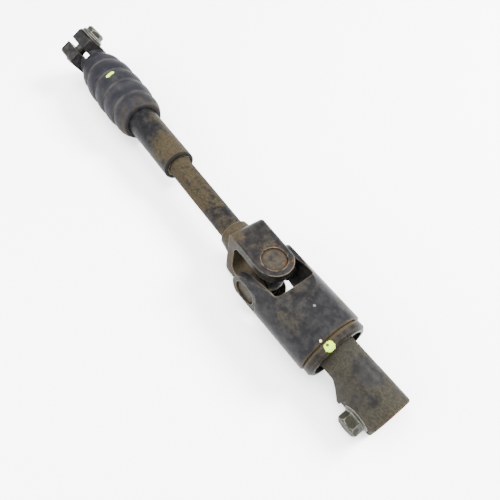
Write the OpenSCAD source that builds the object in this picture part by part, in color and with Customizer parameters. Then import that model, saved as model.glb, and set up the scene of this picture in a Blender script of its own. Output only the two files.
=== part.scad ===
// Steering intermediate shaft with two universal joints.
// The upper joint sits inside a rubber boot. The lower one has an open fork and a slotted drum
// that holds a rubber isolator and the lower clamp.
// Frame: origin at the mouth of the upper clamp bore, +X along the shaft to the lower clamp,
// +Z up as the shaft lies on a table.

/* [Layout] */
// Upper clamp mouth to the centre of the upper joint
upper_joint_x = 53; // [51:1:58]
// Distance between the centres of the two joints
joint_span = 205; // [200:1:220]
// Turn of the joint ears about the shaft, in degrees
ear_turn = 7; // [0:1:12]
// Bend of the lower joint as the shaft lies, in degrees
lower_bend = 2.3; // [0:0.1:4]
// Turn of the upper clamp slot from upright, in degrees
upper_slot_turn = 27; // [0:1:40]
// Turn of the lower clamp bolt from level, in degrees
lower_slot_turn = 4; // [0:1:10]

/* [Shaft and tube] */
// Diameter of the inner shaft
shaft_d = 16; // [15:0.5:16.5]
// Outside diameter of the outer tube
tube_d = 23; // [22.5:0.5:24.5]
// Length of the outer tube
tube_len = 79; // [76:1:84]
// Upper joint centre to the hidden end of the tube
tube_start = 19; // [18:1:20]
// Length of the inner shaft inside the tube
shaft_engaged = 47; // [42:1:50]
// Number of spline teeth
spline_count = 6; // [4:1:8]
// Height of a spline tooth
spline_h = 0.9; // [0.6:0.1:1]
// Width of a spline tooth
spline_w = 3; // [2:0.1:3.2]
// Length of the spline teeth
spline_len = 22; // [16:1:26]
// Length of the guide bush in the tube mouth
bush_len = 8; // [6:0.5:10]
// Wall of the guide bush
bush_wall = 1.1; // [1:0.1:1.3]

/* [Clamp bores and bolts] */
// Diameter of both clamp bores
bore_d = 15; // [14:0.5:15.5]
// Depth of both clamp bores
bore_depth = 25; // [22:1:26]
// Width of both pinch slots
slot_w = 4.4; // [3:0.1:5]
// Thread diameter of the clamp bolts
bolt_d = 8; // [7:0.5:8]
// Width across the flats of the bolt heads
bolt_flats = 12; // [11.5:0.5:13]
// Height of the hexagon of the bolt heads
bolt_head_h = 8; // [6:0.5:9]
// Height of the hexagon of the upper bolt head
upper_head_h = 5; // [4:0.5:7]
// Diameter of the bolt flange
bolt_flange_d = 17.4; // [16:0.2:18]
// Thickness of the bolt flange at its rim
bolt_flange_t = 1.9; // [1:0.1:2.2]
// Wall between the clamp bore and the bolt hole
bolt_wall = 0.4; // [0.3:0.1:0.8]

/* [Upper clamp] */
// Length of the upper clamp ears along the shaft
upper_ear_len = 18; // [17:0.5:19]
// Radius of the upper clamp boss
upper_boss_r = 12.2; // [12:0.1:12.3]
// Half width of the upper clamp ears across the slot
upper_ear_half = 12.5; // [12.4:0.1:13.5]
// Height of the upper clamp ears above the bolt centre
upper_ear_over = 6.4; // [5.6:0.1:7]
// Radius of the upper neck that the boot grips
upper_neck_r = 11.4; // [10.6:0.1:11.8]

/* [Upper joint] */
// Radius of the upper bearing cups
upper_cup_r = 6.2; // [6:0.1:6.4]
// Radius of the upper trunnions
upper_pin_r = 3.7; // [3.5:0.1:3.8]
// Radius of the upper needles
upper_needle_r = 0.8; // [0.7:0.05:0.85]
// Upper joint centre to the outer face of a cup
upper_cup_face = 14.2; // [14:0.1:14.6]
// Length of the upper bearing cups
upper_cup_len = 6.6; // [6.4:0.1:6.8]
// Half width of the upper joint ears
upper_fork_half = 8; // [7.8:0.1:8.4]
// Upper joint centre to the inner face of an ear
upper_ear_in = 9.6; // [9.2:0.1:10]
// Upper joint centre to the root of its forks
upper_root = 14; // [13.5:0.5:14.5]
// Thickness of the root of the upper clamp fork
upper_web = 8; // [7:0.5:9]
// Radius of the turned crown of the upper forks
upper_crown_r = 15.9; // [15.4:0.1:16]

/* [Lower joint] */
// Radius of the lower bearing cups
cup_r = 8; // [7.8:0.1:8.2]
// Radius of the lower trunnions
pin_r = 5; // [4.7:0.1:5.1]
// Radius of the lower needles
needle_r = 1; // [0.9:0.05:1.05]
// Lower joint centre to the outer face of a cup
cup_face = 18.7; // [18.2:0.1:18.9]
// Length of the lower bearing cups
cup_len = 9.9; // [9.6:0.1:10]
// Half width of the shaft yoke ears
fork_half = 12; // [11.4:0.1:12.2]
// Lower joint centre to the inner face of a shaft yoke ear
fork_in = 13; // [12.8:0.1:13.4]
// Lower joint centre to the outer face of a shaft yoke ear
fork_out = 19.5; // [19.2:0.1:20]
// Radius of the turned crown of the shaft yoke ears
fork_crown_r = 22.2; // [21.8:0.1:22.4]
// Lower joint centre to the root of the shaft yoke gap
fork_root = 23; // [22.5:0.5:24]
// Lower joint centre to the back edge of the shaft yoke ears
fork_back = 31.5; // [31:0.5:33]
// Lower joint centre to the end of the shaft yoke collar
fork_tail = 40; // [39:0.5:42]
// Radius of the shaft yoke collar at its end
collar_r = 10; // [9.6:0.1:10.6]

/* [Drum yoke] */
// Outside diameter of the drum
drum_d = 44; // [43.6:0.1:44.6]
// Lower joint centre to the open end of the drum
drum_end = 54.5; // [54:0.5:56]
// Lower joint centre to the floor of the drum slot
slot_floor = 20; // [19.5:0.5:21]
// Half width of the drum slot
slot_half = 14.4; // [14.2:0.1:14.6]
// Radius of the drum ear tips
ear_tip_r = 11.5; // [11.2:0.1:11.7]
// Lower joint centre to the full height of the drum
ramp_end = 33; // [31:0.5:35]
// Lower joint centre to the flat round a drum cup
spot_face = 20.2; // [19.8:0.1:20.4]
// Thickness of the drum wall round the isolator
drum_wall = 2.8; // [2.4:0.1:3]
// Thickness of the web behind the slot floor
drum_web = 7; // [6:0.5:8]

/* [Isolator] */
// Radius of the sleeve flange outside the drum
flange_r = 20.8; // [20.4:0.1:21.2]
// Length of the sleeve flange outside the drum
flange_len = 6.4; // [5.8:0.1:7]
// Width of the groove between the drum and the flange
groove_len = 1.4; // [0.8:0.1:1.8]
// Depth of the groove between the drum and the flange
groove_deep = 0.9; // [0.6:0.1:1.2]
// Depth of the stop plate inside the flange
stop_recess = 2.2; // [1.5:0.1:2.4]
// Thickness of the sleeve wall
sleeve_t = 1.9; // [1.6:0.1:2]
// Radius of the steel hub inside the rubber
hub_r = 13; // [12.7:0.1:13.2]
// Thickness of the stop plate
stop_t = 2.6; // [2:0.1:2.8]
// Width of a stop lug
lug_w = 7; // [6:0.5:8]
// Twist that the stop lugs allow each way, in degrees
stop_angle = 4; // [3:0.5:5]

/* [Lower clamp] */
// Lower joint centre to the mouth of the lower clamp
lower_reach = 104; // [102:0.5:107]
// Radius of the lower clamp neck and boss
lower_boss_r = 12; // [11.7:0.1:12.3]
// Length of the lower clamp ears along the shaft
lower_ear_len = 24; // [23:0.5:25]
// Half width of the lower clamp ears across the slot
lower_ear_half = 14; // [13.7:0.1:14.6]
// Depth of the lower clamp ears below the bolt centre
lower_ear_over = 6.2; // [5.6:0.1:6.8]
// Depth of the seat cut under the bolt flange
seat_depth = 1.8; // [1.2:0.1:2.2]

/* [Boot] */
// Length of the boot
boot_len = 76; // [75:1:80]
// Distance from the upper clamp mouth to the boot
boot_start = 22; // [21.5:0.5:23]
// Wall of the boot
boot_wall = 1.8; // [1.4:0.1:1.9]
// Largest radius of the boot
boot_r = 19; // [18.8:0.1:20]
// Depth of the grooves between the boot folds
boot_fold = 1.5; // [1:0.1:1.8]
// Number of folds in the boot
boot_folds = 5; // [4:1:6]
// Gap between the boot lips and what they seal on
lip_gap = 0.3; // [0.2:0.05:0.3]

/* [Hidden] */
$fn = 64;
far = 200;              // reach of a cut that goes right through
over = 1;               // how far a cut runs past a face
press_gap = 0.02;       // pressed parts, radial
slide_gap = 0.12;       // the shaft in its tube and bush, radial
roll_gap = 0.02;        // needles to trunnion and to cup, radial
thrust_gap = 0.15;      // trunnion end to cup floor
cup_floor = 1.2;        // thickness of a cup's closed end
seal_t = 1.1;           // thickness of a trunnion seal
edge = 0.8;             // small chamfers
shaft_r = shaft_d / 2;
tube_r = tube_d / 2;
bore_r = bore_d / 2;
bolt_r = bolt_d / 2;
drum_r = drum_d / 2;
lower_joint_x = upper_joint_x + joint_span;
bolt_offset = bore_r + bolt_wall + bolt_r;
tube_x0 = upper_joint_x + tube_start;
tube_x1 = tube_x0 + tube_len;
tube_bore_r = shaft_r + slide_gap;
spline_r = shaft_r + spline_h;
bush_r = tube_bore_r + bush_wall;
bush_x0 = tube_x1 - bush_len - edge;
shaft_x0 = tube_x1 - shaft_engaged;
spigot_len = 9;
steel_dark = [0.16, 0.16, 0.17];
steel_tan = [0.36, 0.33, 0.26];
zinc = [0.62, 0.64, 0.6];
rubber = [0.13, 0.13, 0.15];

// Turned and filleted basics

module rod_x(r, x0, x1) {
    translate([x0, 0, 0]) rotate([0, 90, 0]) cylinder(r = r, h = x1 - x0);
}

// Revolve a profile whose x is the place along the shaft and y the radius
module turned_x() {
    rotate([0, 90, 0]) rotate_extrude() mirror([1, -1]) children();
}

module round_box(x0, x1, y0, y1, r) {
    translate([x0 + r, y0]) square([x1 - x0 - 2 * r, y1 - y0]);
    translate([x0, y0 + r]) square([x1 - x0, y1 - y0 - 2 * r]);
    for (x = [x0 + r, x1 - r], y = [y0 + r, y1 - r])
        translate([x, y]) circle(r);
}

// A tab from y0 to y1 with both far corners rounded
module tab(half, y0, y1, r) {
    translate([-half, y0]) square([2 * half, y1 - r - y0]);
    translate([r - half, y0]) square([2 * (half - r), y1 - y0]);
    for (x = [r - half, half - r])
        translate([x, y1 - r]) circle(r);
}

// Places: the ear frame of each joint, with its ears along Z

module at_upper() {
    translate([upper_joint_x, 0, 0]) rotate([-ear_turn, 0, 0]) children();
}

module at_lower() {
    translate([lower_joint_x, 0, 0]) rotate([-ear_turn, 0, 0]) children();
}

module at_drum() {
    at_lower() rotate([0, 0, lower_bend]) children();
}

// The four arms of a cross: 0 up, 1 down, 2 left (+Y), 3 right (-Y)
module arm(k) {
    rotate([[0, 180, -90, 90][k], 0, 0]) children();
}

// Universal joint pieces, along +Z from the joint centre

module cup(face, r, pin, needle, mouth) {
    cavity = pin + 2 * (needle + roll_gap);
    difference() {
        union() {
            translate([0, 0, mouth]) cylinder(r = r, h = face - mouth - edge / 2);
            translate([0, 0, face - edge / 2]) cylinder(r1 = r, r2 = r - edge / 2, h = edge / 2);
        }
        translate([0, 0, mouth - over]) cylinder(r = cavity, h = face - cup_floor - mouth + over);
    }
}

module needles(face, pin, needle, mouth) {
    pitch = pin + needle + roll_gap;
    count = floor(180 / asin((needle + roll_gap) / pitch));
    first = mouth + edge;
    last = face - cup_floor - thrust_gap;
    for (i = [0:count - 1])
        rotate([0, 0, 360 * i / count]) translate([pitch, 0, first])
            cylinder(r = needle, h = last - first, $fn = 24);
}

module cross(face, pin, shoulder, mouth) {
    sphere(r = norm([pin, mouth - seal_t - 2 * thrust_gap]));
    for (k = [0:3]) arm(k) {
        cylinder(r = shoulder, h = mouth - seal_t - 2 * thrust_gap);
        cylinder(r = pin, h = face - cup_floor - thrust_gap - edge / 2);
        translate([0, 0, face - cup_floor - thrust_gap - edge / 2])
            cylinder(r1 = pin, r2 = pin - edge / 2, h = edge / 2);
    }
}

module seal(pin, shoulder, mouth) {
    translate([0, 0, mouth - seal_t - thrust_gap]) difference() {
        cylinder(r = shoulder, h = seal_t);
        translate([0, 0, -over]) cylinder(r = pin + press_gap, h = seal_t + 2 * over);
    }
}

// A forged fork that opens to +X, ears along Z, closed at -back
module fork(half, inner, outer, root, back, crown, cup) {
    bend = (outer - inner) * 1.3;
    inner_bend = (outer - inner) * 0.8;
    plan = half * 0.3;
    difference() {
        intersection() {
            rotate([90, 0, 0]) linear_extrude(2 * half + over, center = true) difference() {
                round_box(-back, half + 2 * bend, -outer, outer, bend);
                round_box(-root, half + 4 * bend, -inner, inner, inner_bend);
            }
            linear_extrude(2 * outer + 2 * over, center = true) {
                circle(half);
                translate([plan - back, -half]) square([back - plan, 2 * half]);
                translate([-back - over, plan - half]) square([back, 2 * (half - plan)]);
                for (y = [plan - half, half - plan])
                    translate([plan - back, y]) circle(plan);
            }
            rod_x(crown, -back - over, half + over);
        }
        cylinder(r = cup + press_gap, h = 2 * outer + 2 * over, center = true);
    }
}

// Flanged bolt with its seat at z = 0 and its head at +Z
module flanged_bolt(reach, head) {
    hex_r = bolt_flats / 2 / cos(30);
    neck_h = (bolt_flange_d / 2 - hex_r) * 0.6;
    translate([0, 0, edge - reach]) cylinder(r = bolt_r, h = reach - edge);
    translate([0, 0, -reach]) cylinder(r1 = bolt_r - edge, r2 = bolt_r, h = edge);
    cylinder(r = bolt_flange_d / 2, h = bolt_flange_t);
    translate([0, 0, bolt_flange_t]) cylinder(r1 = bolt_flange_d / 2, r2 = hex_r, h = neck_h);
    intersection() {
        cylinder(r = hex_r, h = bolt_flange_t + head, $fn = 6);
        translate([0, 0, bolt_flange_t + head - hex_r * 2])
            cylinder(r1 = hex_r * 2 + bolt_flats / 2 - edge / 2, r2 = bolt_flats / 2 - edge / 2, h = hex_r * 2);
    }
}

// Upper clamp yoke: split clamp, neck and hidden fork in one forging

module upper_clamp_yoke() {
    bolt_x = upper_ear_len / 2;
    tail = upper_joint_x - upper_root - upper_web;
    color(steel_dark) difference() {
        union() {
            turned_x() polygon([[0, 0], [0, upper_boss_r - edge], [edge, upper_boss_r],
                [upper_ear_len + edge / 2, upper_boss_r], [boot_start - over, upper_neck_r],
                [tail + over, upper_neck_r], [tail + over, 0]]);
            rotate([upper_slot_turn, 0, 0]) rotate([90, 0, 90]) linear_extrude(upper_ear_len)
                tab(upper_ear_half, 0, bolt_offset + upper_ear_over, 3);
            at_upper() rotate([90, 0, 0])
                fork(upper_fork_half, upper_ear_in, upper_cup_face + edge, upper_root,
                    upper_root + upper_web, upper_crown_r, upper_cup_r);
        }
        rod_x(bore_r, -over, bore_depth);
        rotate([upper_slot_turn, 0, 0]) {
            translate([-over, -slot_w / 2, 0]) cube([bore_depth + over, slot_w, far]);
            translate([bolt_x, 0, bolt_offset]) rotate([90, 0, 0]) {
                cylinder(r = bolt_r + press_gap, h = far, center = true);
                translate([0, 0, -upper_ear_half - far]) cylinder(r = bolt_r + 0.4, h = far + upper_ear_half);
            }
        }
    }
}

module upper_clamp_bolt() {
    color(zinc) rotate([upper_slot_turn, 0, 0]) translate([upper_ear_len / 2, upper_ear_half, bolt_offset])
        rotate([-90, 0, 0]) flanged_bolt(2 * upper_ear_half + edge, upper_head_h);
}

upper_shoulder = upper_pin_r + 1.7;
upper_mouth = upper_cup_face - upper_cup_len;

module upper_cross() {
    color(zinc) at_upper() cross(upper_cup_face, upper_pin_r, upper_shoulder, upper_mouth);
}

module upper_cup(k) {
    color(zinc) at_upper() arm(k) cup(upper_cup_face, upper_cup_r, upper_pin_r, upper_needle_r, upper_mouth);
}

module upper_needles(k) {
    color(zinc) at_upper() arm(k) needles(upper_cup_face, upper_pin_r, upper_needle_r, upper_mouth);
}

module upper_seals() {
    color(rubber) at_upper() for (k = [0:3])
        arm(k) seal(upper_pin_r, upper_shoulder, upper_mouth);
}

// Boot: barrel-shaped folds between sharp grooves, gripping the neck and the tube

boot_x1 = boot_start + boot_len;
boot_top_r = upper_neck_r + lip_gap;
boot_low_r = tube_r + lip_gap;

// Outside radius of the boot at the share u of its length, without folds
function boot_hull(u) = boot_top_r + boot_wall
    + (boot_r - boot_top_r - boot_wall) * pow(sin(180 * pow(u, 0.72)), 0.62)
    + (boot_low_r - boot_top_r + 1.6) * u;

// Depth of the fold groove at the share u
function boot_dip(u) = boot_fold * pow(1 - abs(sin(180 * boot_folds * u)), 2);

boot_steps = boot_folds * 12;
function boot_line(shrink) = [for (i = [0:boot_steps]) let (u = i / boot_steps)
    [boot_start + boot_len * u, shrink > 0 && u > 0.97 ? boot_low_r
        : max(boot_hull(u) - boot_dip(u) * sin(180 * u) - shrink, (u < 0.5 ? boot_top_r : boot_low_r))]];

module rubber_boot() {
    outer = boot_line(0);
    inner = boot_line(boot_wall);
    color(rubber) turned_x()
        polygon(concat(outer, [for (i = [boot_steps:-1:0]) inner[i]]));
}

// Tube yoke: fork welded to a plug in the tube

module tube_yoke() {
    color(steel_dark) difference() {
        union() {
            at_upper() mirror([1, 0, 0])
                fork(upper_fork_half, upper_ear_in, upper_cup_face + edge, upper_root, tube_start,
                    upper_crown_r, upper_cup_r);
            rod_x(spline_r + 0.4, tube_x0 - over, tube_x0 + spigot_len);
        }
        rod_x(spline_r / 2, tube_x0 - over, tube_x0 + spigot_len + over);
    }
}

module spline_ribs(r, w, x0, x1) {
    translate([x0, 0, 0]) rotate([0, 90, 0]) linear_extrude(x1 - x0)
        for (i = [0:spline_count - 1]) rotate(360 * (i + 0.5) / spline_count)
            translate([0, -w / 2]) square([r, w]);
}

module outer_tube() {
    color(steel_tan) difference() {
        turned_x() polygon([[tube_x0, 0], [tube_x0, tube_r], [tube_x1 - edge, tube_r], [tube_x1, tube_r - edge],
            [tube_x1, 0]]);
        rod_x(tube_bore_r, tube_x0 - over, tube_x1 + over);
        rod_x(spline_r + 0.4 + press_gap, tube_x0 - over, tube_x0 + spigot_len);
        spline_ribs(spline_r + slide_gap, spline_w + 2 * slide_gap, tube_x0 + spigot_len, bush_x0 + over);
        rod_x(bush_r + press_gap, bush_x0, tube_x1 + over);
    }
}

module guide_bush() {
    color("ivory") turned_x() translate([bush_x0, tube_bore_r]) square([bush_len, bush_wall]);
}

// Inner shaft with spline teeth on its hidden end, pressed into the shaft yoke

fork_bore_x = lower_joint_x - fork_root - 4;

module inner_shaft() {
    color(steel_tan) {
        rod_x(shaft_r, shaft_x0, fork_bore_x);
        intersection() {
            spline_ribs(spline_r, spline_w, shaft_x0, shaft_x0 + spline_len);
            turned_x() polygon([[shaft_x0, 0], [shaft_x0, shaft_r - edge / 2], [shaft_x0 + 2, spline_r],
                [shaft_x0 + spline_len - 2, spline_r], [shaft_x0 + spline_len, shaft_r - edge / 2],
                [shaft_x0 + spline_len, 0]]);
        }
    }
}

module shaft_yoke() {
    color(steel_tan) at_lower() difference() {
        union() {
            fork(fork_half, fork_in, fork_out, fork_root, fork_back, fork_crown_r, cup_r);
            turned_x() polygon([[-fork_tail, 0], [-fork_tail, collar_r - edge], [edge - fork_tail, collar_r],
                [-fork_back, fork_half - edge], [-fork_root - over, fork_half - edge], [-fork_root - over, 0]]);
        }
        rod_x(shaft_r + press_gap, -fork_tail - over, fork_bore_x - lower_joint_x);
    }
}

// Lower cross and its bearings

shoulder = pin_r + 2;
mouth = cup_face - cup_len;

module lower_cross() {
    color(zinc) at_drum() cross(cup_face, pin_r, shoulder, mouth);
}

module lower_cup(k) {
    color(steel_tan) at_drum() arm(k) cup(cup_face, cup_r, pin_r, needle_r, mouth);
}

module lower_needles(k) {
    color(zinc) at_drum() arm(k) needles(cup_face, pin_r, needle_r, mouth);
}

module lower_seals() {
    color(rubber) at_drum() for (k = [0:3])
        arm(k) seal(pin_r, shoulder, mouth);
}

// Drum yoke: slotted ears that ramp up to a round drum

cavity_r = drum_r - drum_wall;
cavity_x = slot_floor + drum_web;
ramp_tilt = atan2(drum_r, ramp_end) - asin(ear_tip_r / norm([drum_r, ramp_end]));

// Everything past the ramp that falls from the drum to the ear tip, seen from the side
module above_ramp() {
    rotate(ramp_tilt) translate([-far, ear_tip_r + 0.01]) square([2 * far, far]);
}

module drum_yoke() {
    tip_x = -ear_tip_r * sin(ramp_tilt);
    color(steel_dark) at_drum() difference() {
        intersection() {
            turned_x() polygon([[-ear_tip_r - over, 0], [-ear_tip_r - over, drum_r], [drum_end - edge, drum_r],
                [drum_end, drum_r - edge], [drum_end, 0]]);
            union() {
                rotate([90, 0, 0]) cylinder(r = ear_tip_r, h = far, center = true);
                translate([tip_x, -far / 2, -far / 2]) cube(far);
            }
        }
        for (side = [0, 1]) mirror([0, 0, side])
            rotate([90, 0, 0]) linear_extrude(far, center = true) above_ramp();
        linear_extrude(far, center = true)
            round_box(-far / 2, slot_floor, -slot_half, slot_half, 3);
        for (k = [2, 3]) arm(k) {
            cylinder(r = cup_r + press_gap, h = drum_r + over);
            translate([0, 0, spot_face]) cylinder(r = ear_tip_r + 0.6, h = drum_r);
        }
        rod_x(cavity_r, cavity_x, drum_end + over);
    }
}

// Isolator: sleeve with two stop lugs, rubber ring, stop plate on the hub

flange_x1 = drum_end + flange_len;
sleeve_in = cavity_r - sleeve_t;
lug_in = hub_r + 1.2;
stop_r = sleeve_in - 0.5;
stop_x1 = flange_x1 - stop_recess;
stop_x0 = stop_x1 - stop_t;

module isolator_sleeve() {
    color(steel_dark) at_drum() {
        {
            turned_x() polygon([[cavity_x + edge, cavity_r - press_gap], [drum_end + slide_gap, cavity_r - press_gap],
                [drum_end + slide_gap, flange_r - groove_deep], [drum_end + groove_len, flange_r - groove_deep],
                [drum_end + groove_len, flange_r], [flange_x1 - 2 * edge, flange_r], [flange_x1, flange_r - 2 * edge],
                [flange_x1, sleeve_in], [cavity_x + edge, sleeve_in]]);
        }
        for (side = [-1, 1]) intersection() {
            translate([stop_x0, side > 0 ? lug_in : -flange_r + 2 * edge, -lug_w / 2])
                cube([stop_t, flange_r - 2 * edge - lug_in, lug_w]);
            rod_x(sleeve_in + sleeve_t / 2, stop_x0, stop_x1);
        }
    }
}

module isolator_rubber() {
    color(rubber) at_drum() turned_x() polygon([[cavity_x + 2 * edge, hub_r + press_gap * 2],
        [cavity_x + 3 * edge, (hub_r + sleeve_in) / 2], [cavity_x + 2 * edge, sleeve_in - press_gap],
        [stop_x0 - 2 * edge, sleeve_in - press_gap], [stop_x0 - 3 * edge, (hub_r + sleeve_in) / 2],
        [stop_x0 - 2 * edge, hub_r + press_gap * 2]]);
}

notch_half = lug_w / 2 + stop_r * sin(stop_angle) + 0.2;

module stop_plate() {
    color(steel_tan) at_drum() difference() {
        rod_x(stop_r, stop_x0, stop_x1);
        rod_x(hub_r - edge + press_gap, stop_x0 - over, stop_x1 + over);
        for (side = [0, 1]) mirror([0, side, 0])
            translate([stop_x0 - over, lug_in - 0.5, -notch_half])
                cube([stop_t + 2 * over, stop_r, 2 * notch_half]);
    }
}

// Lower clamp: hub in the rubber, neck and split clamp in one forging

lower_bolt_x = lower_reach - lower_ear_len / 2 + 0.5;

ear_fillet = 6;
ear_corner = 2.4;
ear_top = 2;
flare = lower_ear_half - lower_boss_r + edge;
flare_r = (ear_fillet * ear_fillet + flare * flare) / (2 * flare);

// The lower ears from above, with a hollow flare from the neck and rounded far corners
module ear_plan(x0) {
    far_x = lower_reach - ear_corner;
    difference() {
        union() {
            translate([x0 - ear_fillet, -lower_ear_half]) square([far_x - x0 + ear_fillet, 2 * lower_ear_half]);
            translate([x0, ear_corner - lower_ear_half])
                square([lower_reach - x0, 2 * (lower_ear_half - ear_corner)]);
            for (y = [ear_corner - lower_ear_half, lower_ear_half - ear_corner])
                translate([far_x, y]) circle(ear_corner);
        }
        for (side = [-1, 1])
            translate([x0 - ear_fillet, side * (lower_ear_half - flare + flare_r)]) circle(flare_r);
    }
}

module lower_clamp() {
    ear_x0 = lower_reach - lower_ear_len;
    ear_deep = bolt_offset + lower_ear_over;
    color(steel_tan) at_drum() difference() {
        union() {
            turned_x() polygon([[cavity_x + 4 * edge, 0], [cavity_x + 4 * edge, hub_r], [stop_x0, hub_r],
                [stop_x0, hub_r - edge], [stop_x1, hub_r - edge], [stop_x1 + edge, lower_boss_r],
                [lower_reach - edge, lower_boss_r], [lower_reach, lower_boss_r - edge], [lower_reach, 0]]);
            rotate([lower_slot_turn + ear_turn, 0, 0]) intersection() {
                translate([ear_x0 - ear_fillet, 0, 0]) rotate([90, 0, 90])
                    linear_extrude(lower_ear_len + ear_fillet)
                        round_box(-lower_ear_half, lower_ear_half, -ear_deep, -ear_top, ear_corner);
                translate([0, 0, -ear_deep - over]) linear_extrude(ear_deep + over) ear_plan(ear_x0);
            }
        }
        rod_x(bore_r, lower_reach - bore_depth, lower_reach + over);
        rotate([lower_slot_turn + ear_turn, 0, 0]) {
            translate([lower_reach - bore_depth - 1, -slot_w / 2, -far])
                cube([bore_depth + 1 + over, slot_w, far]);
            translate([lower_bolt_x, 0, -bolt_offset]) rotate([90, 0, 0]) {
                cylinder(r = bolt_r + press_gap, h = far, center = true);
                cylinder(r = bolt_r + 0.4, h = far);
                translate([0, 0, lower_ear_half - seat_depth]) cylinder(r = bolt_flange_d / 2 + 0.5, h = far);
            }
        }
    }
}

module lower_clamp_bolt() {
    color(zinc) at_drum() rotate([lower_slot_turn + ear_turn, 0, 0])
        translate([lower_bolt_x, -lower_ear_half + seat_depth, -bolt_offset]) rotate([90, 0, 0])
            flanged_bolt(2 * lower_ear_half - seat_depth + edge, bolt_head_h);
}

upper_clamp_yoke();
upper_clamp_bolt();
upper_cross();
upper_cup(0);  // upper_cup_top
upper_cup(1);  // upper_cup_bottom
upper_cup(2);  // upper_cup_left
upper_cup(3);  // upper_cup_right
upper_needles(0);  // upper_needles_top
upper_needles(1);  // upper_needles_bottom
upper_needles(2);  // upper_needles_left
upper_needles(3);  // upper_needles_right
upper_seals();
rubber_boot();
tube_yoke();
outer_tube();
guide_bush();
inner_shaft();
shaft_yoke();
lower_cross();
lower_cup(0);  // lower_cup_top
lower_cup(1);  // lower_cup_bottom
lower_cup(2);  // lower_cup_left
lower_cup(3);  // lower_cup_right
lower_needles(0);  // lower_needles_top
lower_needles(1);  // lower_needles_bottom
lower_needles(2);  // lower_needles_left
lower_needles(3);  // lower_needles_right
lower_seals();
drum_yoke();
isolator_sleeve();
isolator_rubber();
stop_plate();
lower_clamp();
lower_clamp_bolt();
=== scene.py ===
import math

import bmesh
import bpy
from mathutils import Matrix, Vector


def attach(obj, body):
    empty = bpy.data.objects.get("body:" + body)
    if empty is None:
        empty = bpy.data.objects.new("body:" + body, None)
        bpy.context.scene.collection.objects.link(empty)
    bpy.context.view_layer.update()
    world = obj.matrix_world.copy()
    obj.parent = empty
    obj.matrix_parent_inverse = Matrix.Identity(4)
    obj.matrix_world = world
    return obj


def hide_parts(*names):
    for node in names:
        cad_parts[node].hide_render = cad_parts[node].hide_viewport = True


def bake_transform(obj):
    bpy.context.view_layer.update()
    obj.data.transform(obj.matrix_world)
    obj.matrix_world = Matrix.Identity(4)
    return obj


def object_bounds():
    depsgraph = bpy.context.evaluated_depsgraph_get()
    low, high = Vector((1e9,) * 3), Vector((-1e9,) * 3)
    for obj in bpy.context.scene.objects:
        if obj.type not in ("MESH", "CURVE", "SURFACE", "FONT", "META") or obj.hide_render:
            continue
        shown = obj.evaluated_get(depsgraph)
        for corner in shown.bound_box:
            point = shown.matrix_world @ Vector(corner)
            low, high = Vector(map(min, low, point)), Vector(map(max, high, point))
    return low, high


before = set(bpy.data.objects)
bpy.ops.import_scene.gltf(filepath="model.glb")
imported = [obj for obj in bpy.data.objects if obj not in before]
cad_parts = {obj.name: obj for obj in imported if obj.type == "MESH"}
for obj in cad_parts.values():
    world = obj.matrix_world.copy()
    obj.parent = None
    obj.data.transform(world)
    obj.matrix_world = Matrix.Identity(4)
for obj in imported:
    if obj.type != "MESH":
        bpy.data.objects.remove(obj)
cadLow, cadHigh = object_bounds()
print("frame loaded")

# Places in the shared frame, metres
lowerJoint = Vector((0.258, 0, 0))
earTurn = math.radians(7)
earUp = Vector((0, math.sin(earTurn), math.cos(earTurn)))
capCentre = lowerJoint + earUp * 0.0187  # outer face of the top bearing cup
drumAxis = Vector((0.999194, 0.039833, -0.004891))  # from the lower joint to the lower clamp
drumSide = Vector((-0.040132, 0.991747, -0.121771))  # square to drumAxis and earUp

# Dabs of paint: centre, radius, colour
lime = (0.31, 0.47, 0.012)
sleeveDab = (Vector((0.3168, -0.0056, 0.0190)), 0.0031, lime)
dabSmear = (Vector((0.3155, -0.0062, 0.0192)), 0.001, (0.03, 0.032, 0.014))
dabDot = (Vector((0.3118, -0.0078, 0.0196)), 0.0008, (0.4, 0.4, 0.2))
paleChip = (Vector((0.2948, 0.0016, 0.0218)), 0.0008, (0.06, 0.06, 0.06))


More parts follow.
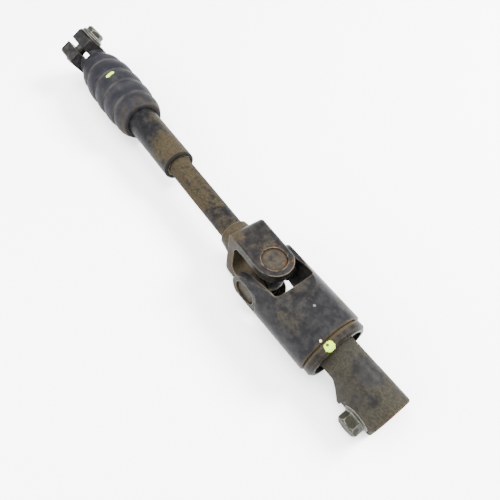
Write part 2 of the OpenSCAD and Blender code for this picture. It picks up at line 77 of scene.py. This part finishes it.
class Nodes:
    def __init__(self, name):
        self.mat = bpy.data.materials.new(name)
        self.mat.use_nodes = True
        self.tree = self.mat.node_tree
        self.tree.nodes.clear()
        self.coord = self.add("TexCoord").outputs["Object"]

    def add(self, kind):
        return self.tree.nodes.new("ShaderNode" + kind)

    def put(self, socket, value):
        if isinstance(value, bpy.types.NodeSocket):
            self.tree.links.new(value, socket)
        elif isinstance(value, tuple) and socket.type == "RGBA":
            socket.default_value = (*value, 1)
        else:
            socket.default_value = value

    def noise(self, scale, detail=5, rough=0.55, stretch=(1, 1, 1), shift=(0, 0, 0)):
        place = self.add("Mapping")
        self.put(place.inputs["Vector"], self.coord)
        self.put(place.inputs["Scale"], stretch)
        self.put(place.inputs["Location"], shift)
        n = self.add("TexNoise")
        self.put(n.inputs["Vector"], place.outputs[0])
        self.put(n.inputs["Scale"], scale)
        self.put(n.inputs["Detail"], detail)
        self.put(n.inputs["Roughness"], rough)
        return n.outputs["Fac"]

    def calc(self, kind, a, b=0.0, clamp=False):
        n = self.add("Math")
        n.operation = kind
        n.use_clamp = clamp
        self.put(n.inputs[0], a)
        self.put(n.inputs[1], b)
        return n.outputs[0]

    def plus(self, a, b, clamp=False):
        return self.calc("ADD", a, b, clamp)

    def minus(self, a, b):
        return self.calc("SUBTRACT", a, b)

    def times(self, a, b, clamp=False):
        return self.calc("MULTIPLY", a, b, clamp)

    def measure(self, kind, a, b):
        n = self.add("VectorMath")
        n.operation = kind
        self.put(n.inputs[0], a)
        self.put(n.inputs[1], b)
        return n.outputs["Value"]

    def span(self, value, low, high, start=0.0, end=1.0):
        n = self.add("MapRange")
        n.interpolation_type = "SMOOTHSTEP"
        for socket, v in zip(n.inputs[:5], (value, low, high, start, end)):
            self.put(socket, v)
        return n.outputs[0]

    def mix(self, fac, a, b):
        n = self.add("Mix")
        n.data_type = "RGBA"
        self.put(n.inputs[0], fac)
        self.put(n.inputs[6], a)  # 6, 7 and output 2 are the colour sockets
        self.put(n.inputs[7], b)
        return n.outputs[2]

    def near(self, point, inner, outer):
        far = self.measure("DISTANCE", self.coord, tuple(point))
        return self.span(far, inner, outer, 1.0, 0.0)

    def spot(self, point, radius, grain=(620, 4, 0.6), ragged=0.8, solid=0.93):
        far = self.measure("DISTANCE", self.coord, tuple(point))
        wander = self.times(self.minus(self.noise(*grain), 0.5), radius * ragged)
        return self.span(self.plus(far, wander), radius * solid, radius, 1.0, 0.0)

    def band(self, axis, origin, middle, half, soft):
        along = self.measure("DOT_PRODUCT", self.coord, tuple(axis))
        along = self.minus(along, Vector(origin).dot(Vector(axis)))
        far = self.calc("ABSOLUTE", self.minus(along, middle))
        return self.span(far, half, half + soft, 1.0, 0.0)

    def facing(self, axis, low, high):
        normal = self.add("TexCoord").outputs["Normal"]
        return self.span(self.measure("DOT_PRODUCT", normal, axis), low, high)

    def softNormal(self, radius):
        n = self.add("Bevel")
        n.samples = 6
        self.put(n.inputs["Radius"], radius)
        return n.outputs[0]

    def edges(self, radius, low, high):
        flat = self.add("NewGeometry").outputs["Normal"]
        return self.span(self.measure("DOT_PRODUCT", self.softNormal(radius), flat), high, low)

    def finish(self, colour, rough, metal, bump, depth, soften=0.0006, sheen=0.03):
        shader = self.add("BsdfPrincipled")
        lift = self.add("Bump")
        self.put(lift.inputs["Strength"], 1.0)
        self.put(lift.inputs["Distance"], depth)
        self.put(lift.inputs["Height"], bump)
        if soften:
            self.put(lift.inputs["Normal"], self.softNormal(soften))
        self.put(shader.inputs["Base Color"], colour)
        self.put(shader.inputs["Roughness"], rough)
        self.put(shader.inputs["Metallic"], metal)
        self.put(shader.inputs["Specular IOR Level"], sheen)
        self.put(shader.inputs["Normal"], lift.outputs[0])
        self.put(self.add("OutputMaterial").inputs[0], shader.outputs[0])
        return self.mat


# How the grime is broken up. A noise has its scale, detail and roughness. A span has its low and
# high end, and what it gives there where that isn't 0 and 1.
grimeGrain = {
    "patchNoise": (6, 0.6),  # its scale is the finish's own, patch
    "fine": (900, 4, 0.6), "middle": (240, 5, 0.6),
    "patchShare": 0.62, "middleShare": 0.38, "upSpan": (-0.2, 1.0),
    "paintSpan": (0.35, 0.7), "dustSpan": (0.35, 0.65),
    "rustNoise": (310, 5, 0.7), "rustShift": (3, 1, 2), "rustSpan": (0.5, 0.68),
    "rustSpotSpan": (0.36, 0.56), "rustTone": (0.4, 0.6),
    "wornNoise": (150, 4, 0.6), "wornSpan": (0.3, 0.62), "edgeSpan": (0.8, 0.985),
    "ringSoft": 0.001, "ringSpan": (0.3, 0.6, 0.35, 1.0), "bandSpan": (0.25, 0.55, 0.45, 1.0),
}
# What a finish may change, sizes in metres.
# dustSpots, rustSpots: centre, inner and outer radius, amount. marks: centre, radius, colour.
# bands: axis, origin, middle, half width, soft edge, colour, amount.
# rust and shade rings: centre, inner and outer radius, reach, colour, amount; their dark tint is partly
# rust and partly painted shade.
grimeBase = {
    "patch": 42, "shift": (0, 0, 0), "upDust": 0.05, "dustLow": 0.5, "dustHigh": 0.68, "dustMost": 0.7,
    "dustSpots": (), "rustSpots": (), "marks": (), "bands": (), "rustAndShadeRings": (), "rustAll": 0.0,
    "edge": (0.06, 0.054, 0.04), "edgeMost": 0.7, "edgeWidth": 0.0009,
    "metal": 0.0, "rough": 0.36, "dustRough": 0.34,
    "relief": 0.0002, "fineRelief": 0.5, "middleRelief": 0.5,
    "base": (0.0038, 0.0038, 0.0043), "baseLight": (0.0087, 0.0084, 0.0087),
    "dust": (0.0168, 0.013, 0.0068), "dustLight": (0.0308, 0.0243, 0.0136),
    "rust": (0.016, 0.0095, 0.006), "rustLight": (0.038, 0.022, 0.0125),
}


def grimy(name, s, g=grimeGrain):
    k = Nodes(name)
    patch = k.noise(s["patch"], *g["patchNoise"], shift=s["shift"])
    fine = k.noise(*g["fine"])
    middle = k.noise(*g["middle"])
    field = k.plus(k.times(patch, g["patchShare"]), k.times(middle, g["middleShare"]))
    field = k.plus(field, k.times(k.facing((0, 0, 1), *g["upSpan"]), s["upDust"]))
    for point, inner, outer, amount in s["dustSpots"]:
        field = k.plus(field, k.times(k.near(point, inner, outer), amount))
    dusty = k.times(k.span(field, s["dustLow"], s["dustHigh"]), s["dustMost"])
    paint = k.mix(k.span(middle, *g["paintSpan"]), s["base"], s["baseLight"])
    dust = k.mix(k.span(fine, *g["dustSpan"]), s["dust"], s["dustLight"])
    colour = k.mix(dusty, paint, dust)

    rustField = k.noise(*g["rustNoise"], shift=g["rustShift"])
    rusty = k.times(k.span(rustField, *g["rustSpan"]), s["rustAll"])
    for point, inner, outer, amount in s["rustSpots"]:
        spot = k.times(k.near(point, inner, outer), k.span(middle, *g["rustSpotSpan"]))
        rusty = k.calc("MAXIMUM", rusty, k.times(spot, amount))
    rust = k.mix(k.span(fine, *g["rustTone"]), s["rust"], s["rustLight"])
    colour = k.mix(rusty, colour, rust)

    wornField = k.span(k.noise(*g["wornNoise"]), *g["wornSpan"])
    worn = k.times(k.edges(s["edgeWidth"], *g["edgeSpan"]), wornField)
    colour = k.mix(k.times(worn, s["edgeMost"]), colour, s["edge"])
    # Dark rings: partly rust, partly painted shade of a hollow rim and the gap round it.
    for point, inner, outer, reach, tint, amount in s["rustAndShadeRings"]:
        ring = k.minus(k.near(point, reach, reach + g["ringSoft"]), k.near(point, inner, outer))
        ring = k.times(ring, k.span(middle, *g["ringSpan"]), True)
        colour = k.mix(k.times(ring, amount), colour, tint)
    for axis, origin, centre, half, soft, tint, amount in s["bands"]:
        ragged = k.times(k.span(patch, *g["bandSpan"]), amount)
        colour = k.mix(k.times(k.band(axis, origin, centre, half, soft), ragged), colour, tint)
    for point, radius, tint in s["marks"]:
        colour = k.mix(k.spot(point, radius), colour, tint)

    rough = k.plus(k.times(dusty, s["dustRough"]), s["rough"], True)
    bump = k.plus(k.times(middle, s["middleRelief"]), k.times(fine, s["fineRelief"]))
    return k.finish(colour, rough, s["metal"], bump, s["relief"])


clampGrime = dict(
    grimeBase, dustLow=0.54, dustHigh=0.74, rough=0.42, edge=(0.052, 0.052, 0.05),
    base=(0.0061, 0.0056, 0.0061), baseLight=(0.0133, 0.0127, 0.0127),
    dust=(0.0162, 0.0144, 0.0115), dustLight=(0.027, 0.0252, 0.0216),
)
tubeGrime = dict(
    grimeBase, patch=36, shift=(1.2, 0, 0), dustLow=0.56, dustHigh=0.76, dustMost=0.75, upDust=0.02,
    dustSpots=(((0.141, 0.001, 0.009), 0.006, 0.024, 0.28), ((0.112, 0.009, 0.006), 0.003, 0.014, 0.1)),
    bands=(((1, 0, 0), (0, 0, 0), 0.1507, 0.0009, 0.0008, (0.005, 0.0045, 0.0045), 0.9),),
    middleRelief=0.0,
)
shaftGrime = dict(
    grimeBase, patch=60, dustLow=0.34, dustHigh=0.56, dustMost=0.95, rough=0.5, rustAll=0.08,
    dust=(0.0143, 0.0113, 0.0063), dustLight=(0.0253, 0.0202, 0.0119),
    dustSpots=(((0.208, 0.002, 0.006), 0.004, 0.02, -0.2), ((0.190, 0.004, 0.006), 0.002, 0.01, -0.14)),
)
forkGrime = dict(
    grimeBase, patch=55, dustLow=0.54, dustHigh=0.72, rustAll=0.08,
    base=(0.0052, 0.005, 0.0052), baseLight=(0.0125, 0.0115, 0.011),
    edge=(0.1, 0.084, 0.06), edgeWidth=0.0015, edgeMost=0.85,
    dustSpots=(((0.222, 0, 0.008), 0.006, 0.014, 0.3), ((0.2295, -0.009, 0.0185), 0.003, 0.011, 0.24),
               ((0.238, -0.004, -0.004), 0.008, 0.02, 0.3)),
    rustSpots=((capCentre + Vector((0.006, 0.0068, 0)), 0.001, 0.0035, 0.8),
               (capCentre + Vector((-0.0065, 0.0062, 0)), 0.001, 0.0032, 0.8),
               (capCentre, 0.0081, 0.0088, 0.85)),
)
drumGrime = dict(
    grimeBase, patch=34, shift=(0.3, 2.0, 0.7), dustLow=0.57, dustHigh=0.78, rustAll=0.05,
    base=(0.0047, 0.0047, 0.0054), baseLight=(0.011, 0.0106, 0.0109),
    dust=(0.016, 0.0135, 0.0091), dustLight=(0.0289, 0.0248, 0.0172),
    edge=(0.07, 0.057, 0.038), edgeWidth=0.0018, edgeMost=0.8,
    dustSpots=(((0.256, -0.0215, -0.002), 0.006, 0.011, 0.3), ((0.270, 0.013, 0.008), 0.004, 0.012, 0.22),
               ((0.294, -0.014, 0.014), 0.004, 0.014, 0.1), ((0.30, 0.016, 0.012), 0.002, 0.008, 0.12)),
    bands=((drumAxis, lowerJoint, 0.0547, 0.0005, 0.0007, (0.024, 0.0165, 0.0085), 0.8),),
    marks=(sleeveDab, dabSmear, dabDot, paleChip), middleRelief=0.0,
)
sleeveGrime = dict(
    grimeBase, patch=70, dustLow=0.46, dustHigh=0.66, dustMost=0.6, rustAll=0.2,
    base=(0.0038, 0.0035, 0.0034), baseLight=(0.009, 0.0084, 0.0072),
    dust=(0.012, 0.0095, 0.006), dustLight=(0.02, 0.0165, 0.011),
    edge=(0.0468, 0.0426, 0.0344), edgeWidth=0.0014, edgeMost=0.8,
    bands=((drumAxis, lowerJoint, 0.0553, 0.0006, 0.0009, (0.025, 0.018, 0.0095), 0.7),),
    marks=(sleeveDab, dabSmear), middleRelief=0.0,
)
plateGrime = dict(
    grimeBase, dustLow=0.44, dustHigh=0.6, dust=(0.016, 0.0096, 0.0048), dustLight=(0.028, 0.0176, 0.0088),
)
stubGrime = dict(
    grimeBase, patch=48, shift=(4, 1, 0), dustLow=0.38, dustHigh=0.62, dustMost=0.85, rustAll=0.1,
    base=(0.006, 0.0058, 0.0056), baseLight=(0.0125, 0.012, 0.0115), rough=0.46, middleRelief=0.0,
    dust=(0.0126, 0.0114, 0.0082), dustLight=(0.0228, 0.0206, 0.015),
    dustSpots=(((0.338, 0.005, 0.012), 0.002, 0.012, -0.3), ((0.350, -0.004, 0.01), 0.001, 0.006, -0.15)),
    bands=((drumAxis, lowerJoint, 0.1042, 0.0003, 0.0012, (0.04, 0.02, 0.008), 0.8),),
)
zincGrime = dict(
    grimeBase, metal=0.6, rough=0.42, patch=160, dustLow=0.5, dustHigh=0.75, rustAll=0.1,
    base=(0.016, 0.0168, 0.0132), baseLight=(0.0352, 0.0364, 0.0304),
    dust=(0.0115, 0.0105, 0.0069), dustLight=(0.0229, 0.0216, 0.015),
    edge=(0.3, 0.295, 0.26), edgeWidth=0.0013, edgeMost=0.85,
    dustSpots=(((0.3505, -0.0165, -0.0136), 0.0066, 0.0078, 0.3),),
)
bearingGrime = dict(
    grimeBase, metal=0.7, rough=0.35, dustMost=0.5, rustAll=0.3,
    base=(0.06, 0.06, 0.057), baseLight=(0.12, 0.12, 0.114),
)
cupGrime = dict(
    grimeBase, patch=150, dustLow=0.42, dustHigh=0.62, dustMost=0.8, rustAll=0.35,
    base=(0.0096, 0.0086, 0.0072), baseLight=(0.0216, 0.0192, 0.0154),
    dust=(0.0158, 0.0132, 0.0088), dustLight=(0.0268, 0.0233, 0.017),
    edge=(0.0175, 0.009, 0.0045), edgeWidth=0.0016, edgeMost=1.0,
    # Dark brown ring round the top cup's rim: partly rust, partly painted shade of the hollow rim and the
    # gap round the cup.
    rustAndShadeRings=((capCentre, 0.0058, 0.0072, 0.009, (0.0125, 0.0072, 0.0042), 0.85),),
    rustSpots=((capCentre + Vector((0.005, 0.0045, 0)), 0.001, 0.003, 1.0),),
)
rubberGrime = dict(grimeBase, dustHigh=0.7, dustMost=0.35, rough=0.6, edgeMost=0.1)
nylonGrime = dict(grimeBase, base=(0.096, 0.084, 0.06), baseLight=(0.132, 0.12, 0.09), edgeMost=0.2)
stakeGrime = dict(forkGrime, rustAll=0.9, edgeMost=0.0)

cups = [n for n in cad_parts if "_cup_" in n]
needles = [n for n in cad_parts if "_needles_" in n]
finishes = {
    "clampPaint": (clampGrime, ["upper_clamp_yoke"]),
    "tubePaint": (tubeGrime, ["outer_tube", "tube_yoke"]),
    "shaftDirt": (shaftGrime, ["inner_shaft"]),
    "forkPaint": (forkGrime, ["shaft_yoke"]),
    "drumPaint": (drumGrime, ["drum_yoke"]),
    "sleeveSteel": (sleeveGrime, ["isolator_sleeve"]),
    "plateSteel": (plateGrime, ["stop_plate"]),
    "stubSteel": (stubGrime, ["lower_clamp"]),
    "zincPlate": (zincGrime, ["upper_clamp_bolt", "lower_clamp_bolt"]),
    "bearingSteel": (bearingGrime, ["upper_cross", "lower_cross"] + needles),
    "cupSteel": (cupGrime, cups),
    "blackRubber": (rubberGrime, ["isolator_rubber", "upper_seals", "lower_seals"]),
    "agedNylon": (nylonGrime, ["guide_bush"]),
}
for title, (settings, names) in finishes.items():
    finish = grimy(title, settings)
    for name in names:
        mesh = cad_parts[name].data
        mesh.materials.clear()
        mesh.materials.append(finish)
print("finishes on the steel pieces")


def newPiece(name, bm, material):
    mesh = bpy.data.meshes.new(name)
    bm.to_mesh(mesh)
    bm.free()
    mesh.materials.append(material)
    mesh.shade_smooth()
    obj = bpy.data.objects.new(name, mesh)
    bpy.context.scene.collection.objects.link(obj)
    return obj


# Boot: lathed in two halves that meet at the upper cross.
# crests and lip are points along the shaft and out from it.
bootShape = {
    "start": 0.022, "startRise": 0.0002, "seam": 0.053, "neck": 0.0117, "wall": 0.0018, "turns": 96,
    "mouth": 0.0118, "mouthStart": 0.0945,
    "crests": ((0.0224, 0.0131), (0.0244, 0.0133), (0.0264, 0.0143), (0.0305, 0.0162), (0.0345, 0.0169),
               (0.0382, 0.0165), (0.039, 0.0161), (0.0398, 0.0168), (0.0425, 0.0182), (0.0468, 0.0187),
               (0.0512, 0.0185), (0.053, 0.0181), (0.054, 0.0176), (0.0545, 0.0172), (0.055, 0.0177),
               (0.058, 0.0187), (0.0618, 0.0191), (0.066, 0.0187), (0.0683, 0.018), (0.069, 0.0173),
               (0.0697, 0.0179), (0.0728, 0.0187), (0.0766, 0.0189), (0.0808, 0.0184), (0.0838, 0.0176),
               (0.0845, 0.0168), (0.0852, 0.0173), (0.0875, 0.0177), (0.0905, 0.0177), (0.0938, 0.017),
               (0.0958, 0.016), (0.0972, 0.0154), (0.09775, 0.0149)),
    "lip": ((0.09795, 0.01465), (0.098, 0.0144), (0.098, 0.0138), (0.098, 0.0124), (0.0979, 0.012),
            (0.0977, 0.0118)),
}
bootLook = {
    "black": (0.006, 0.0062, 0.0078), "blackLight": (0.0115, 0.0115, 0.0138), "blackSpan": (0.35, 0.7),
    "fine": (1100, 4, 0.6), "broad": (70, 5, 0.6, (1.6, 1, 1)), "rough": 0.5, "relief": 0.00018,
    "dust": (0.03, 0.028, 0.024), "dustNoise": (180, 6, 0.65), "dustSpan": (0.5, 0.75), "dustMost": 0.3,
    "dustRough": 0.3,
    "grooves": (0.039, 0.0545, 0.069, 0.0845), "grooveWidth": (0.0004, 0.0011),  # half width, soft edge
    "grooveSpan": (0.3, 0.6, 0.25, 0.85),
    "mouthDust": (0.021, 0.0165, 0.0115), "mouthBand": (0.0965, 0.003, 0.005), "mouthMost": 0.55,
    "mouthNoise": (120, 5, 0.6), "mouthSpan": (0.35, 0.65),
    "dabs": ((0.0596, -0.0046, 0.018), (0.0592, -0.0028, 0.0184), (0.0588, -0.001, 0.0186)),
    "dabSize": 0.0018,
}


def bootMaterial(s):
    k = Nodes("bootRubber")
    shaftLine = ((1, 0, 0), (0, 0, 0))
    fine = k.noise(*s["fine"])
    broad = k.noise(*s["broad"])
    colour = k.mix(k.span(broad, *s["blackSpan"]), s["black"], s["blackLight"])
    dusty = k.times(k.span(k.noise(*s["dustNoise"]), *s["dustSpan"]), s["dustMost"])
    for groove in s["grooves"]:
        line = k.band(*shaftLine, groove, *s["grooveWidth"])
        dusty = k.calc("MAXIMUM", dusty, k.times(line, k.span(broad, *s["grooveSpan"])))
    colour = k.mix(dusty, colour, s["dust"])
    mouthField = k.span(k.noise(*s["mouthNoise"]), *s["mouthSpan"])
    mouth = k.times(k.band(*shaftLine, *s["mouthBand"]), mouthField)
    colour = k.mix(k.times(mouth, s["mouthMost"]), colour, s["mouthDust"])
    for dab in s["dabs"]:
        colour = k.mix(k.spot(dab, s["dabSize"]), colour, lime)
    rough = k.plus(k.times(dusty, s["dustRough"]), s["rough"], True)
    return k.finish(colour, rough, 0.0, k.plus(fine, broad), s["relief"], 0)


def lathe(name, line, turns, material):
    bm = bmesh.new()
    ring = [bm.verts.new((x, 0, r)) for x, r in line]
    edges = [bm.edges.new(pair) for pair in zip(ring, ring[1:])]
    bmesh.ops.spin(bm, geom=ring + edges, cent=(0, 0, 0), axis=(1, 0, 0), angle=math.tau, steps=turns,
                   use_merge=True)
    bmesh.ops.recalc_face_normals(bm, faces=bm.faces)
    return newPiece(name, bm, material)


# A smooth line through the points, four steps to each
def rounded(points, steps=4):
    fine = []
    for i in range(len(points) - 1):
        p0, p1, p2, p3 = (points[max(0, min(len(points) - 1, i + d))] for d in (-1, 0, 1, 2))
        slope1 = (p2[1] - p0[1]) / (p2[0] - p0[0])
        slope2 = (p3[1] - p1[1]) / (p3[0] - p1[0])
        w = p2[0] - p1[0]
        for t in (n / steps for n in range(steps)):
            h = (2 * t**3 - 3 * t**2 + 1, t**3 - 2 * t**2 + t, -2 * t**3 + 3 * t**2, t**3 - t**2)
            r = h[0] * p1[1] + h[1] * w * slope1 + h[2] * p2[1] + h[3] * w * slope2
            fine.append((p1[0] + w * t, r))
    return fine + [points[-1]]


def makeBoot(s, look):
    rubber = bootMaterial(look)
    outer = [(s["start"], s["neck"] + s["startRise"])] + rounded(s["crests"])
    inner = [(x, max(r - s["wall"], s["neck"] if x < s["seam"] else s["mouth"])) for x, r in outer]
    inner = [(x, s["mouth"] if x > s["mouthStart"] else r) for x, r in inner]
    cut = min(range(len(outer)), key=lambda i: abs(outer[i][0] - s["seam"]))
    upper = lathe("bootUpper", outer[: cut + 1] + inner[: cut + 1][::-1], s["turns"], rubber)
    lower = lathe("bootLower", outer[cut:] + list(s["lip"]) + inner[cut:][::-1], s["turns"], rubber)
    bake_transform(upper)
    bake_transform(lower)
    for half in (upper, lower):
        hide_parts("rubber_boot")


makeBoot(bootShape, bootLook)
print("boot lathed")

# Stake marks: six small upset lips round each outer face of the open fork hold its cups.
# turns are degrees round the cup, the other sizes metres.
stakeMarks = {
    "face": 0.0195, "reach": 0.00865, "along": 0.0019, "across": 0.0007, "height": 0.00035,
    "turns": (15, 38, 150, 172, 236, 300),
}


def makeStakes(name, normal, body, material, s):
    centre = lowerJoint + normal * s["face"]
    side = normal.orthogonal().normalized()
    shape = Matrix.Diagonal((s["along"], s["across"], s["height"], 1))
    bm = bmesh.new()
    for turn in s["turns"]:
        out = Matrix.Rotation(math.radians(turn), 4, normal) @ side
        turned = Matrix((normal.cross(out), -out, normal)).transposed().to_4x4()
        place = Matrix.Translation(centre + out * s["reach"]) @ turned
        bmesh.ops.create_icosphere(bm, subdivisions=3, radius=1, matrix=place @ shape)
    obj = newPiece(name, bm, material)
    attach(obj, body)


stakeSteel = grimy("stakeSteel", stakeGrime)
makeStakes("stakesTop", earUp, "inner_shaft", stakeSteel, stakeMarks)
makeStakes("stakesBottom", -earUp, "inner_shaft", stakeSteel, stakeMarks)
print("stake marks")

# Clamp shoulders: the swept metal that joins the stub to its ears, along the drum's axis.
# The outlines are points across and above that axis: small on the stub, large on the ear, rim over
# the bolt. early says how soon small grows to large. ends: place along the axis, outline, width.
# turn and sharp are degrees.
shoulder = {
    "turn": 4, "start": 0.066, "full": 0.079, "steps": 12, "early": 1.6, "sharp": 32,
    "small": ((-0.0111, 0.0044), (-0.01178, -0.0018), (-0.0096, -0.0069), (-0.007, -0.0094),
              (-0.006, -0.008), (-0.009, 0.003)),
    "large": ((-0.0111, 0.0044), (-0.01395, -0.0026), (-0.01395, -0.0158), (-0.0119, -0.018),
              (-0.009, -0.018), (-0.009, 0.003)),
    "rim": ((-0.0111, 0.0044), (-0.01395, -0.0025), (-0.0131, -0.0026), (-0.0123, -0.0026),
            (-0.009, -0.0026), (-0.009, 0.003)),
    "ends": ((0.081, "large", 1.0), (0.0822, "rim", 1.0), (0.1014, "rim", 1.0), (0.1024, "rim", 0.985),
             (0.1032, "rim", 0.95)),
}


def makeShoulder(name, side, material, s):
    turn = math.radians(s["turn"])
    across = (drumSide * math.cos(turn) + earUp * math.sin(turn)) * side
    above = earUp * math.cos(turn) - drumSide * math.sin(turn)
    stations = []
    for i in range(s["steps"] + 1):
        t = i / s["steps"]
        grown = t * t * (s["early"] + (1 - s["early"]) * t)
        pairs = zip(s["small"], s["large"])
        outline = [(a + (c - a) * grown, b + (d - b) * grown) for (a, b), (c, d) in pairs]
        stations.append((s["start"] + (s["full"] - s["start"]) * t, outline))
    stations += [(x, [(a * wide, b) for a, b in s[kind]]) for x, kind, wide in s["ends"]]
    bm = bmesh.new()
    loops = []
    for x, outline in stations:
        ring = [bm.verts.new(lowerJoint + drumAxis * x + across * a + above * b) for a, b in outline]
        loops.append([bm.edges.new(pair) for pair in zip(ring, ring[1:] + ring[:1])])
    for one, two in zip(loops, loops[1:]):
        bmesh.ops.bridge_loops(bm, edges=one + two)
    for end in (loops[0], loops[-1]):
        bmesh.ops.edgeloop_fill(bm, edges=end)
    bmesh.ops.recalc_face_normals(bm, faces=bm.faces)
    obj = newPiece(name, bm, material)
    obj.data.set_sharp_from_angle(angle=math.radians(s["sharp"]))
    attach(obj, "lower_clamp")


makeShoulder("shoulderNear", 1, bpy.data.materials["stubSteel"], shoulder)
makeShoulder("shoulderFar", -1, bpy.data.materials["stubSteel"], shoulder)
print("clamp shoulders")

# Table, light and camera
studio = {
    "table": (0.93, 0.93, 0.93), "tableRough": 0.6, "tableHalf": 3,
    "tableGrain": 30, "tableRelief": 0.00001,
    "world": (1, 1, 1, 1), "worldStrength": 2.35, "aim": (0.2, 0, 0),
    "lamps": {"softKey": ((0.45, 0.75, 0.75), 0.35, 58),  # place, size, power
              "softTop": ((0.15, -0.1, 1.1), 0.8, 32),
              "softFill": ((0.1, -0.75, 0.4), 0.8, 24)},
    "lens": 34.56, "sensor": 36, "clip": 0.01, "eye": (0.3610, -0.0883, 0.2621),
    "right": (0.5788, 0.8155, 0), "up": (-0.7033, 0.4992, 0.5062), "back": (0.4128, -0.2930, 0.8624),
}


def makeTable(s):
    white = Nodes("whiteTable")
    grain = white.noise(s["tableGrain"])
    paint = white.finish(s["table"], s["tableRough"], 0.0, grain, s["tableRelief"], 0)
    bm = bmesh.new()
    bmesh.ops.create_grid(bm, x_segments=1, y_segments=1, size=s["tableHalf"])
    bmesh.ops.translate(bm, verts=bm.verts, vec=(s["aim"][0], 0, cadLow.z))
    return newPiece("tableTop", bm, paint)


def makeWorld(s):
    world = bpy.data.worlds.new("studio")
    world.use_nodes = True
    sky = world.node_tree.nodes["Background"]
    sky.inputs["Color"].default_value = s["world"]
    sky.inputs["Strength"].default_value = s["worldStrength"]
    bpy.context.scene.world = world


def makeLamp(name, place, size, power, aim):
    light = bpy.data.lights.new(name, "AREA")
    light.size = size
    light.energy = power
    obj = bpy.data.objects.new(name, light)
    obj.location = place
    obj.rotation_mode = "QUATERNION"
    obj.rotation_quaternion = (Vector(aim) - Vector(place)).to_track_quat("-Z", "Y")
    bpy.context.scene.collection.objects.link(obj)


def makeCamera(s):
    camera = bpy.data.cameras.new("photoView")
    camera.lens = s["lens"]
    camera.sensor_width = s["sensor"]
    camera.clip_start = s["clip"]
    obj = bpy.data.objects.new("photoView", camera)
    turned = Matrix((s["right"], s["up"], s["back"])).transposed().to_4x4()
    obj.matrix_world = Matrix.Translation(s["eye"]) @ turned
    bpy.context.scene.collection.objects.link(obj)
    bpy.context.scene.camera = obj


tableTop = makeTable(studio)
makeWorld(studio)
for name, (place, size, power) in studio["lamps"].items():
    makeLamp(name, place, size, power, studio["aim"])
makeCamera(studio)

print("ready")
